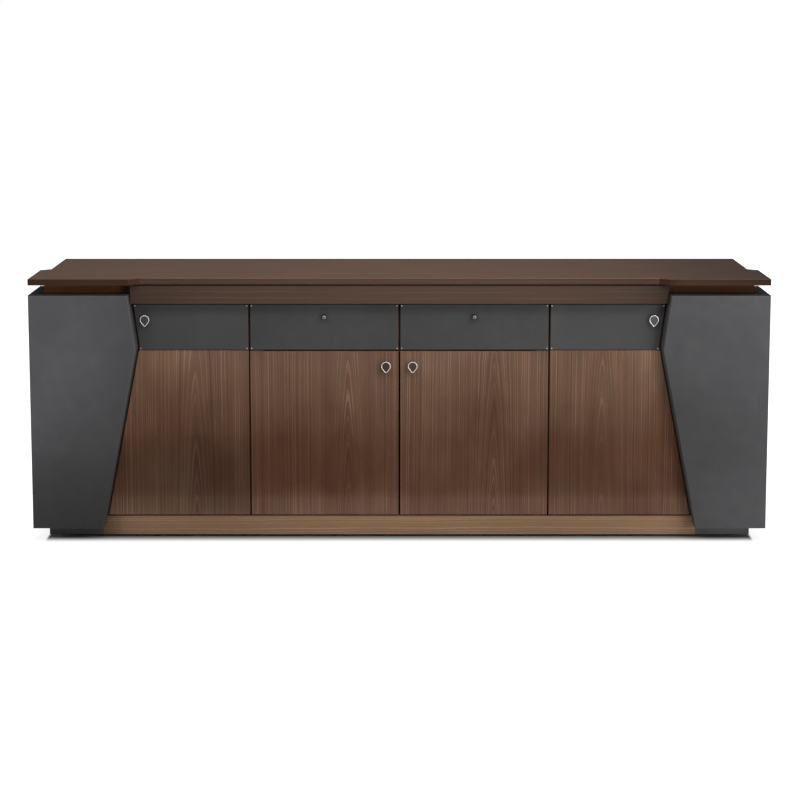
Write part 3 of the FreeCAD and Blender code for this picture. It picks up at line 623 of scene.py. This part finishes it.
def painted_arris_light(shader, tone, facing, side, factor):
    """Painted highlight on the upright edges; the outer one, on the given side, takes its own factor of
    painted light.
    """
    side_normal, front_normal, _ = facing
    arris = shader.band(shader.product(front_normal, -1.0), *ARRIS_SLOPES)
    outwards = shader.remap(shader.product(side_normal, side), *OUTWARD_SLOPES)
    tint = shader.mix(outwards, ARRIS_PAINTED_HIGHLIGHT, (factor, factor, factor))
    return shader.tint(tone, tint, arris)


def leather(name, colour, seed=0.0, shade=None, sweep=None, shaded_inside=None, outer_edge=None):
    """Fine-grained charcoal leather over a panel, with its upper faces painted near black as shade.

    shade and sweep are lists of (height, factor) and (x, factor) pairs of painted light and shade.
    lined is the direction in which the faces carry near-black painted shade instead.
    outer_edge is the side, -1 or 1, of the outer upright edge, with a factor for its painted light.
    """
    shader = Shader(name)
    _, (x, y, z) = shader.position()
    facing = shader.facing()
    moved = shader.vector(shader.math("ADD", x, seed), y, z)
    cells = shader.add("ShaderNodeTexVoronoi", feature="DISTANCE_TO_EDGE")
    shader.link(moved, cells.inputs["Vector"])
    cells.inputs["Scale"].default_value = 1.0 / LEATHER_GRAIN
    creases = shader.remap(cells.outputs["Distance"], 0.0, 0.25)
    cloud = shader.noise(moved, LEATHER_CLOUDS, 3.0)
    mottle = shader.noise(moved, LEATHER_MOTTLE, 3.0, 0.6)

    deep, pale, rubbed = times(colour, 0.80), times(colour, 1.22), times(colour, 1.8)
    tone = shader.mix(shader.remap(cloud, 0.3, 0.7), deep, pale)
    tone = shader.mix(shader.remap(mottle, 0.3, 0.7, 0.0, 0.35), tone, deep)
    tone = shader.mix(shader.product(shader.math("SUBTRACT", 1.0, creases), CREASE_PAINTED_SHADE), tone, deep)
    # painted light and shade by height and across the piece
    if shade:
        tone = shader.scale(tone, shader.profile(z, shade))
    if sweep:
        tone = shader.scale(tone, shader.profile(x, sweep))
    soft_normal, worn = shader.edge_mask(LEATHER_EDGE)
    tone = shader.mix(shader.product(worn, LEATHER_WEAR), tone, rubbed)
    # painted highlight and shade on the upright edges
    if outer_edge:
        tone = painted_arris_light(shader, tone, facing, *outer_edge)
    # painted shade on the faces inside the pillars
    if shaded_inside:
        inwards = shader.dot(shader.vector(*facing), shaded_inside)
        tone = shader.mix(shader.remap(inwards, *INSIDE_SHADE_SLOPES), tone, INSIDE_PAINTED_SHADE)
    # painted shade: the upper faces near black, and fully rough
    upper = shader.remap(facing[2], *UPPER_SLOPES)
    tone = shader.mix(upper, tone, UPPER_PAINTED_SHADE)

    rough = shader.remap(mottle, 0.2, 0.8, *LEATHER_ROUGHNESS, smooth=False)
    shader.set(Base_Color=tone, Roughness=shader.blend(upper, rough, 1.0))
    shader.set(Specular_IOR_Level=0.20, Sheen_Weight=0.03, Sheen_Roughness=0.4)
    shader.bump(creases, LEATHER_RELIEF, 0.55, soft_normal)
    return shader.material


# ---- Metal and plastic ----

def metal(name, colour, roughness, brushed=0.0):
    """Metal with fine scratches. brushed stretches them along X."""
    shader = Shader(name)
    place, (x, y, z) = shader.position()
    stretched = shader.vector(shader.product(x, 1.0 - brushed), y, z)
    scratches = shader.noise(stretched, METAL_SCRATCHES, roughness=0.6)
    smudge = shader.noise(place, METAL_SMUDGES, 3.0)
    tone = shader.mix(shader.remap(smudge, 0.3, 0.7, 0.0, 0.3), colour, times(colour, 0.82))
    rough = shader.remap(smudge, 0.3, 0.7, roughness * 0.8, roughness * 1.35)
    shader.set(Base_Color=tone, Roughness=rough, Metallic=1.0)
    shader.bump(scratches, METAL_RELIEF, 0.15)
    return shader.material


def plastic(name, colour, roughness=0.45, gloss=0.4, sweep=None):
    """Moulded plastic or painted board with a fine texture.

    sweep is a list of (x, factor) pairs of painted light for the faces that look to the front.
    """
    shader = Shader(name)
    place, (x, _, _) = shader.position()
    fine = shader.noise(place, PLASTIC_TEXTURE, roughness=0.6)
    cloud = shader.noise(place, PLASTIC_CLOUDS, 3.0)
    soft_normal, worn = shader.edge_mask(PLASTIC_EDGE)
    rubbed = tuple(value + 0.01 for value in times(colour, 1.8))
    tone = shader.mix(shader.remap(cloud, 0.3, 0.7), times(colour, 0.82), times(colour, 1.15))
    tone = shader.mix(shader.product(worn, PLASTIC_WEAR), tone, rubbed)
    # painted light across the front faces
    if sweep:
        _, front_normal, _ = shader.facing()
        front = shader.remap(front_normal, *FRONT_SLOPES)
        tone = shader.scale(tone, shader.blend(front, 1.0, shader.profile(x, sweep)))
    rough = shader.remap(fine, 0.3, 0.7, roughness - 0.06, roughness + 0.08)
    shader.set(Base_Color=tone, Roughness=rough, Specular_IOR_Level=gloss)
    shader.bump(fine, PLASTIC_RELIEF, 0.35, soft_normal)
    return shader.material


CHROME = metal("chrome", CHROME_TONE, 0.18)
SCREW_CHROME = metal("screw_chrome", SCREW_TONE, 0.22)
DARK_CHROME = metal("dark_chrome", DARK_CHROME_TONE, 0.16)
# inlays with painted tones that follow the face and light around each pull
INLAYS = {node: plastic(node + "_inlay", tone, 0.5, gloss=0.08) for node, tone in INLAY_PAINTED_TONES.items()}


# ---- Measures taken from the frame ----

SLANT_TOLERANCE = 1.2 * MM


def front_centre(node):
    """Middle of a node's front face, and the node's length behind it."""
    low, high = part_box(node)
    return ((low.x + high.x) / 2, low.y, (low.z + high.z) / 2), high.y - low.y


def slant_at(node, height):
    """Outer edge of a node at a height, as a distance from the middle of the piece."""
    points = [vertex.co for vertex in frame["nodes"][node].data.vertices]
    return max(abs(point.x) for point in points if abs(point.z - height) < SLANT_TOLERANCE)


def outer_edge_line(side):
    """Outer edge of a tall door from the foot to the knee: side, half width at height 0, growth."""
    leaf = f"outer_door_{side}"
    facing = f"outer_door_face_{side}"
    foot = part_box(leaf)[0].z
    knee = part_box(facing)[0].z
    growth = (slant_at(facing, knee) - slant_at(leaf, foot)) / (knee - foot)
    return SIDES[side], slant_at(leaf, foot) - growth * foot, growth


# ---- Finishes of the CAD nodes ----

def paint(node, material):
    """Gives a CAD node one material, in each of its material slots."""
    materials = frame["nodes"][node].data.materials
    for i in range(len(materials)):
        materials[i] = material


def paint_by_slot(slot, material):
    for part in frame["record"]["subparts"]:
        if part["material_slot"] == slot:
            paint(part["node"], material)


def finish_boards():
    paint_by_slot("worktop_walnut", walnut(
        "worktop_walnut", "X", TOP_TONE, seed=1.0, sheen=0.004, contrast=0.5, fade=TOP_PAINTED_LIGHT, painted_edges=True,
    ))
    paint("apron", walnut(
        "apron_walnut", "X", APRON_TONE, seed=6.0, contrast=0.34, fineness=0.35, wave=3.0, fade=APRON_PAINTED_LIGHT,
    ))
    paint_by_slot("plinth_walnut", walnut(
        "plinth_walnut", "X", PLINTH_TONE_AND_PAINTED_SHEEN, seed=2.0, contrast=0.72, fineness=0.42, wave=2.2,
        fade=PLINTH_PAINTED_LIGHT,
    ))
    paint_by_slot("carcass_walnut", walnut("carcass_walnut", "Z", CARCASS_TONE, seed=4.0, centre=0.1))
    paint("riser_frame", walnut(
        "riser_walnut", "X", RISER_PAINTED_LIGHT_TONE, seed=8.0, sheen=0.03, contrast=0.8, fade=RISER_PAINTED_LIGHT,
        rear=RISER_REAR,
    ))
    paint_by_slot("drawer_walnut", walnut("drawer_walnut", "X", CARCASS_TONE, seed=5.0, centre=0.1))
    paint_by_slot("drawer_board", walnut("drawer_birch", "X", BIRCH, seed=9.0, contrast=0.35))


def finish_doors():
    """Each door has its own arches, and the tall doors have painted light along their slanted edges."""
    outer = {
        f"outer_door_{side}": (outer_edge_line(side), stations)
        for side, stations in OUTER_EDGE_PAINTED_LIGHT.items()
    }
    facing_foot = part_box("outer_door_face_left")[0].z
    for number, (door, arches) in enumerate(ARCH_CENTRES.items()):
        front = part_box(door)[0].y      # places across the grain are x plus y
        paint(door, walnut(
            door + "_walnut", "Z", DOOR_DEEP, seed=FIRST_DOOR_SEED + DOOR_SEED_STEP * number,
            centre=arches + front, rise=ARCH_RISE, pale=DOOR_PAINTED_SHEEN, shade=DOOR_PAINTED_SHEEN_SHARE, fade=DOOR_TONE_AND_PAINTED_LIGHT[door],
            rim=facing_foot, outer=outer.get(door),
        ))


def finish_leather():
    paint_by_slot("pillar_leather", leather("pillar_leather", CHARCOAL))
    inside = leather("return_painted_shade_leather", RETURN_PAINTED_SHADE_CHARCOAL, seed=4.0, shade=RETURN_PAINTED_SHADE)
    for side, turn in SIDES.items():
        paint(f"pillar_front_{side}", leather(
            f"pillar_leather_{side}", CHARCOAL, seed=7.0, shade=PILLAR_PAINTED_LIGHT[side],
            sweep=PILLAR_PAINTED_LIGHT_ACROSS[side], shaded_inside=(0.0, 1.0, 0.0), outer_edge=(turn, OUTER_ARRIS_PAINTED_LIGHT[side]),
        ))
        paint(f"pillar_side_{side}", leather(
            f"pillar_side_leather_{side}", CHARCOAL, seed=5.0, shaded_inside=(-turn, 0.0, 0.0),
        ))
        paint(f"pillar_return_{side}", inside)


def finish_facings():
    # the drawers' facings, a darker copy for painted shade
    shaded_drawer_charcoal = times(PLATE_CHARCOAL, DRAWER_FACING_PAINTED_SHADE)
    drawers = leather("drawer_facing_painted_shade_leather", shaded_drawer_charcoal, seed=3.0, shade=FACING_PAINTED_LIGHT)
    doors = leather("facing_leather", PLATE_CHARCOAL, seed=3.0, shade=FACING_PAINTED_LIGHT)
    paint_by_slot("facing_leather", doors)
    for side in SIDES:
        paint(f"drawer_face_{side}", drawers)


def finish_metal_and_plastic():
    steel = metal("steel", STEEL_TONE, 0.32, brushed=0.9)
    paint_by_slot("slide_steel", steel)
    paint_by_slot("angle_steel", steel)
    paint_by_slot("pivot_steel", metal("pivot_steel", PIVOT_TONE, 0.45))
    paint_by_slot("chrome", CHROME)
    paint_by_slot("plinth_black", plastic("plinth_black", FRAME_BLACK, gloss=0.12, sweep=FRAME_PAINTED_LIGHT))
    paint_by_slot("glide_black", plastic("glide_black", GLIDE_BLACK))
    paint_by_slot("catch_plastic", plastic("catch_plastic", CATCH_BLACK))


# ---- Mesh building ----

SHARP_ANGLE = 50               # degrees, edges sharper than this stay crisp


def loft(name, rings):
    """A closed piece skinned over a list of rings of points, each with as many points as the next."""
    work = bmesh.new()
    loops = [[work.verts.new(point) for point in ring] for ring in rings]
    count = len(loops[0])
    for low, high in zip(loops, loops[1:]):
        for i in range(count):
            j = (i + 1) % count
            work.faces.new((low[i], low[j], high[j], high[i]))
    work.faces.new(loops[0])
    work.faces.new(list(reversed(loops[-1])))
    bmesh.ops.recalc_face_normals(work, faces=work.faces)
    mesh = bpy.data.meshes.new(name)
    work.to_mesh(mesh)
    work.free()
    for face in mesh.polygons:
        face.use_smooth = True
    piece = bpy.data.objects.new(name, mesh)
    bpy.context.scene.collection.objects.link(piece)
    return piece


def sharpen(piece):
    """Keeps the sharp edges crisp under smooth shading."""
    piece.data.set_sharp_from_angle(angle=math.radians(SHARP_ANGLE))


def finish_piece(piece, body, material):
    piece.data.materials.append(material)
    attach(piece, body)


# ---- Egg-shaped door pulls ----

PULL_RADIUS = 14.5 * MM
PULL_TIP_RADIUS = 5.5 * MM
PULL_HEIGHT = 34.5 * MM
PULL_STEM_RADIUS = 4.5 * MM
PULL_ARC_POINTS = 40
PULL_SIDE_POINTS = 8
PULL_RIM = [                   # inset and depth, mm, from the recess over the rim to the back
    (2.8, 1.6), (2.8, 0.8), (2.6, 0.34), (2.2, 0.08), (1.6, 0.0), (1.0, 0.06), (0.5, 0.3),
    (0.14, 0.75), (0.0, 1.4), (0.0, 6.6), (0.3, 7.4), (0.9, 7.85), (1.7, 8.0), (3.6, 8.0),
]
PULL_NECK = [(5.9, 8.0), (5.1, 8.25), (4.6, 8.8), (4.5, 9.6)]      # radius and depth, mm
PULL_INLAY = [(3.5, 1.15), (3.1, 1.2), (2.9, 1.35), (2.86, 1.55)]  # inset and depth, mm


def arc(middle, radius, start, turn):
    """Points (x, z) on an arc about (0, middle), without its last one."""
    points = []
    for i in range(PULL_ARC_POINTS):
        angle = start + turn * i / PULL_ARC_POINTS
        points.append((radius * math.cos(angle), middle + radius * math.sin(angle)))
    return points


def line(start, end):
    """Points (x, z) from start towards end, without its last one."""
    shares = [i / PULL_SIDE_POINTS for i in range(PULL_SIDE_POINTS)]
    return [tuple(a + (b - a) * share for a, b in zip(start, end)) for share in shares]


def egg_outline(inset):
    """Points (x, z) of the egg outline about its middle, moved in by inset."""
    wide = PULL_RADIUS - inset
    narrow = PULL_TIP_RADIUS - inset
    high = PULL_HEIGHT / 2 - PULL_RADIUS
    low = PULL_TIP_RADIUS - PULL_HEIGHT / 2
    tilt = math.asin((wide - narrow) / (high - low))
    top = (wide * math.cos(tilt), high - wide * math.sin(tilt))
    foot = (narrow * math.cos(tilt), low - narrow * math.sin(tilt))
    return [
        *arc(high, wide, -tilt, math.pi + 2 * tilt),
        *line((-top[0], top[1]), (-foot[0], foot[1])),
        *arc(low, narrow, math.pi + tilt, math.pi - 2 * tilt),
        *line(foot, top),
    ]


def egg_ring(centre, inset, depth):
    x, y, z = centre
    return [(x + px, y + depth, z + pz) for px, pz in egg_outline(inset)]


def stem_ring(centre, radius, depth):
    """A round ring whose points stand in the same directions as those of the egg."""
    x, y, z = centre
    ring = []
    for px, pz in egg_outline(0):
        length = math.hypot(px, pz)
        ring.append((x + px / length * radius, y + depth, z + pz / length * radius))
    return ring


def make_pull(node, body):
    """Rounded chrome rim and stem, with a dark inlay in the recess."""
    centre, length = front_centre(node)
    rings = [egg_ring(centre, inset * MM, depth * MM) for inset, depth in PULL_RIM]
    rings += [stem_ring(centre, radius * MM, depth * MM) for radius, depth in PULL_NECK]
    rings.append(stem_ring(centre, PULL_STEM_RADIUS, length))
    pull = loft(node + "_chrome", rings)
    sharpen(pull)
    finish_piece(pull, body, CHROME)
    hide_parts(node)
    inlay = loft(node + "_inlay", [egg_ring(centre, inset * MM, depth * MM) for inset, depth in PULL_INLAY])
    finish_piece(inlay, body, INLAYS[node])


# ---- Drawer knobs ----

KNOB_POINTS = 48
KNOB_FACE = [                  # radius and depth, mm, from the domed face to the waist
    (0.6, 0.02), (1.7, 0.12), (3.0, 0.42), (4.3, 0.95), (5.5, 1.7), (6.7, 2.75), (7.55, 3.9),
    (8.15, 5.2), (8.45, 6.5), (8.5, 7.4), (8.3, 8.4), (7.7, 9.3), (6.8, 9.85), (5.4, 10.1),
    (4.5, 10.6), (4.05, 11.6), (4.0, 13.2),
]
KNOB_FOOT = [(4.05, 2.4), (4.5, 1.1), (5.4, 0.45), (5.6, 0.0)]     # radius and distance from the seat, mm


def lathe_ring(centre, radius, depth, count):
    x, y, z = centre
    angles = [2 * math.pi * i / count for i in range(count)]
    return [(x + radius * math.cos(angle), y + depth, z + radius * math.sin(angle)) for angle in angles]


def make_knob(node, body):
    """Turned knob with a domed face, a soft rim and a waisted stem."""
    centre, length = front_centre(node)
    profile = [(radius * MM, depth * MM) for radius, depth in KNOB_FACE]
    profile += [(radius * MM, length - above * MM) for radius, above in KNOB_FOOT]
    rings = [lathe_ring(centre, radius, depth, KNOB_POINTS) for radius, depth in profile]
    knob = loft(node + "_chrome", rings)
    finish_piece(knob, body, DARK_CHROME)
    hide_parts(node)


# ---- Corner screws of the facings ----

SCREW_POINTS = 24
SCREW_INSET = 3.6 * MM
SLANT_INSET = 1.25             # times the inset, from a slanted edge
SCREW_SOCKET = [(0.95, -0.35), (0.95, -1.02)]      # half width across flats and depth, mm
SCREW_HEAD = [(1.25, -1.1), (1.65, -0.94), (2.0, -0.66), (2.18, -0.34), (2.2, 0.2)]    # radius and depth, mm


def hexagon_ring(centre, half_width, depth, count):
    """A hexagon with as many points as a round ring."""
    x, y, z = centre
    ring = []
    for i in range(count):
        angle = 2 * math.pi * i / count
        from_flat = (angle + math.pi / 6) % (math.pi / 3) - math.pi / 6
        reach = half_width / math.cos(from_flat)
        ring.append((x + reach * math.cos(angle), y + depth, z + reach * math.sin(angle)))
    return ring


def make_screw(name, body, centre):
    """Small button-head screw with a hexagon socket, seated with its centre on the face."""
    rings = [hexagon_ring(centre, width * MM, depth * MM, SCREW_POINTS) for width, depth in SCREW_SOCKET]
    rings += [lathe_ring(centre, radius * MM, depth * MM, SCREW_POINTS) for radius, depth in SCREW_HEAD]
    screw = loft(name, rings)
    sharpen(screw)
    finish_piece(screw, body, SCREW_CHROME)


def screw_corners(node):
    """Places (x, z) of the four corner screws of a facing."""
    low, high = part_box(node)
    places = []
    for z, edge in ((low.z + SCREW_INSET, low.z), (high.z - SCREW_INSET, high.z)):
        if node.startswith("outer"):
            turn = 1 if low.x > 0 else -1
            inner = min(abs(low.x), abs(high.x)) + SCREW_INSET
            outer = slant_at(node, edge) - SCREW_INSET * SLANT_INSET
            places += [(turn * inner, z), (turn * outer, z)]
        else:
            places += [(low.x + SCREW_INSET, z), (high.x - SCREW_INSET, z)]
    return places


def make_screws(node, body):
    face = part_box(node)[0].y
    for number, (x, z) in enumerate(screw_corners(node)):
        make_screw(f"{node}_screw_{number}", body, (x, face, z))


# ---- Stage, light and camera ----

def background_ray(tree):
    """1 for what the camera sees directly, in metal or through glass."""
    path = tree.nodes.new("ShaderNodeLightPath")
    total = path.outputs["Is Camera Ray"]
    for name in ("Is Glossy Ray", "Is Transmission Ray"):
        node = tree.nodes.new("ShaderNodeMath")
        node.operation = "MAXIMUM"
        tree.links.new(total, node.inputs[0])
        tree.links.new(path.outputs[name], node.inputs[1])
        total = node.outputs[0]
    return total


def distance_from_plinth(shader):
    """Distance on the floor from the plinth's frame, longer beside the piece."""
    _, (x, y, _) = shader.position()
    low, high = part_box("plinth_frame")
    middle, half = (low.y + high.y) / 2, (high.y - low.y) / 2
    beside = shader.math("MAXIMUM", shader.math("SUBTRACT", shader.math("ABSOLUTE", x), high.x), 0.0)
    beside = shader.product(beside, BESIDE_STRETCH)
    depth = shader.math("ABSOLUTE", shader.math("SUBTRACT", y, middle))
    before = shader.math("MAXIMUM", shader.math("SUBTRACT", depth, half), 0.0)
    squares = shader.math("ADD", shader.product(beside, beside), shader.product(before, before))
    return shader.math("SQRT", squares)


def floor_material():
    """Close to the piece it keeps the real shadow, deepened and faded out by painted shadow, and further out
    it glows white.
    """
    shader = Shader("floor")
    shader.tree.nodes.remove(shader.surface)
    diffuse = shader.add("ShaderNodeBsdfDiffuse")
    path = shader.add("ShaderNodeLightPath")
    seen = path.outputs["Is Camera Ray"]
    # the camera sees the floor darker than the light it throws back, as painted shade
    shader.link(shader.remap(seen, 0.0, 1.0, FLOOR_TONE, FLOOR_PAINTED_SHADOW, False), diffuse.inputs["Color"])
    away = distance_from_plinth(shader)
    # the near glow paints the shadow's falloff by the plinth
    near, far = (shader.remap(away, start, end, 0.0, gain) for start, end, gain in FLOOR_GLOWS_AND_PAINTED_SHADOW)
    glow = shader.add("ShaderNodeEmission")
    strength = shader.product(shader.math("ADD", near, far), background_ray(shader.tree))
    shader.link(strength, glow.inputs["Strength"])
    total = shader.add("ShaderNodeAddShader")
    shader.link(diffuse.outputs[0], total.inputs[0])
    shader.link(glow.outputs[0], total.inputs[1])
    shader.link(total.outputs[0], shader.output.inputs["Surface"])
    return shader.material


def make_floor():
    mesh = bpy.data.meshes.new("floor")
    corners = [(FLOOR_HALF * x, FLOOR_HALF * y, 0) for x, y in ((-1, -1), (1, -1), (1, 1), (-1, 1))]
    mesh.from_pydata(corners, [], [(0, 1, 2, 3)])
    mesh.materials.append(floor_material())
    floor = bpy.data.objects.new("floor", mesh)
    bpy.context.scene.collection.objects.link(floor)


def make_world():
    """White where it is seen, and a plain soft light on the piece."""
    world = bpy.data.worlds.new("studio")
    bpy.context.scene.world = world
    world.use_nodes = True
    tree = world.node_tree
    tree.nodes.clear()
    output = tree.nodes.new("ShaderNodeOutputWorld")
    background = tree.nodes.new("ShaderNodeBackground")
    background.inputs["Color"].default_value = (1.0, 1.0, 1.0, 1.0)
    strength = tree.nodes.new("ShaderNodeMapRange")
    strength.inputs["To Min"].default_value = WORLD_STRENGTH
    strength.inputs["To Max"].default_value = 1.0
    tree.links.new(background_ray(tree), strength.inputs["Value"])
    tree.links.new(strength.outputs["Result"], background.inputs["Strength"])
    tree.links.new(background.outputs[0], output.inputs["Surface"])


def make_lamp(name, place, goal, width, height, power):
    """A rectangular lamp that looks at its goal."""
    data = bpy.data.lights.new(name, "AREA")
    data.shape = "RECTANGLE"
    data.size = width
    data.size_y = height
    data.energy = power
    lamp = bpy.data.objects.new(name, data)
    bpy.context.scene.collection.objects.link(lamp)
    lamp.location = place
    direction = Vector(goal) - lamp.location
    lamp.rotation_euler = direction.to_track_quat("-Z", "Y").to_euler()


def make_camera():
    data = bpy.data.cameras.new("camera")
    data.sensor_width = CAMERA_SENSOR
    data.lens = CAMERA_LENS
    data.shift_x = CAMERA_SHIFT_X
    data.shift_y = CAMERA_SHIFT_Y
    camera = bpy.data.objects.new("camera", data)
    bpy.context.scene.collection.objects.link(camera)
    camera.location = (0.0, CAMERA_Y, CAMERA_Z)
    camera.rotation_euler = (math.radians(90 - CAMERA_PITCH), 0.0, 0.0)
    bpy.context.scene.camera = camera


# ---- The whole piece ----

finish_boards()
finish_doors()
finish_leather()
finish_facings()
finish_metal_and_plastic()

for side in SIDES:
    make_pull(f"outer_door_pull_{side}", f"outer_door_{side}")
    make_pull(f"centre_door_pull_{side}", f"centre_door_{side}")
    make_knob(f"drawer_knob_{side}", f"drawer_{side}")

for side in SIDES:
    make_screws(f"outer_door_face_{side}", f"outer_door_{side}")
    make_screws(f"drawer_face_{side}", f"drawer_{side}")

make_floor()
make_world()
for lamp in LAMPS:
    make_lamp(*lamp)
make_camera()
bpy.context.scene.view_settings.view_transform = "Standard"
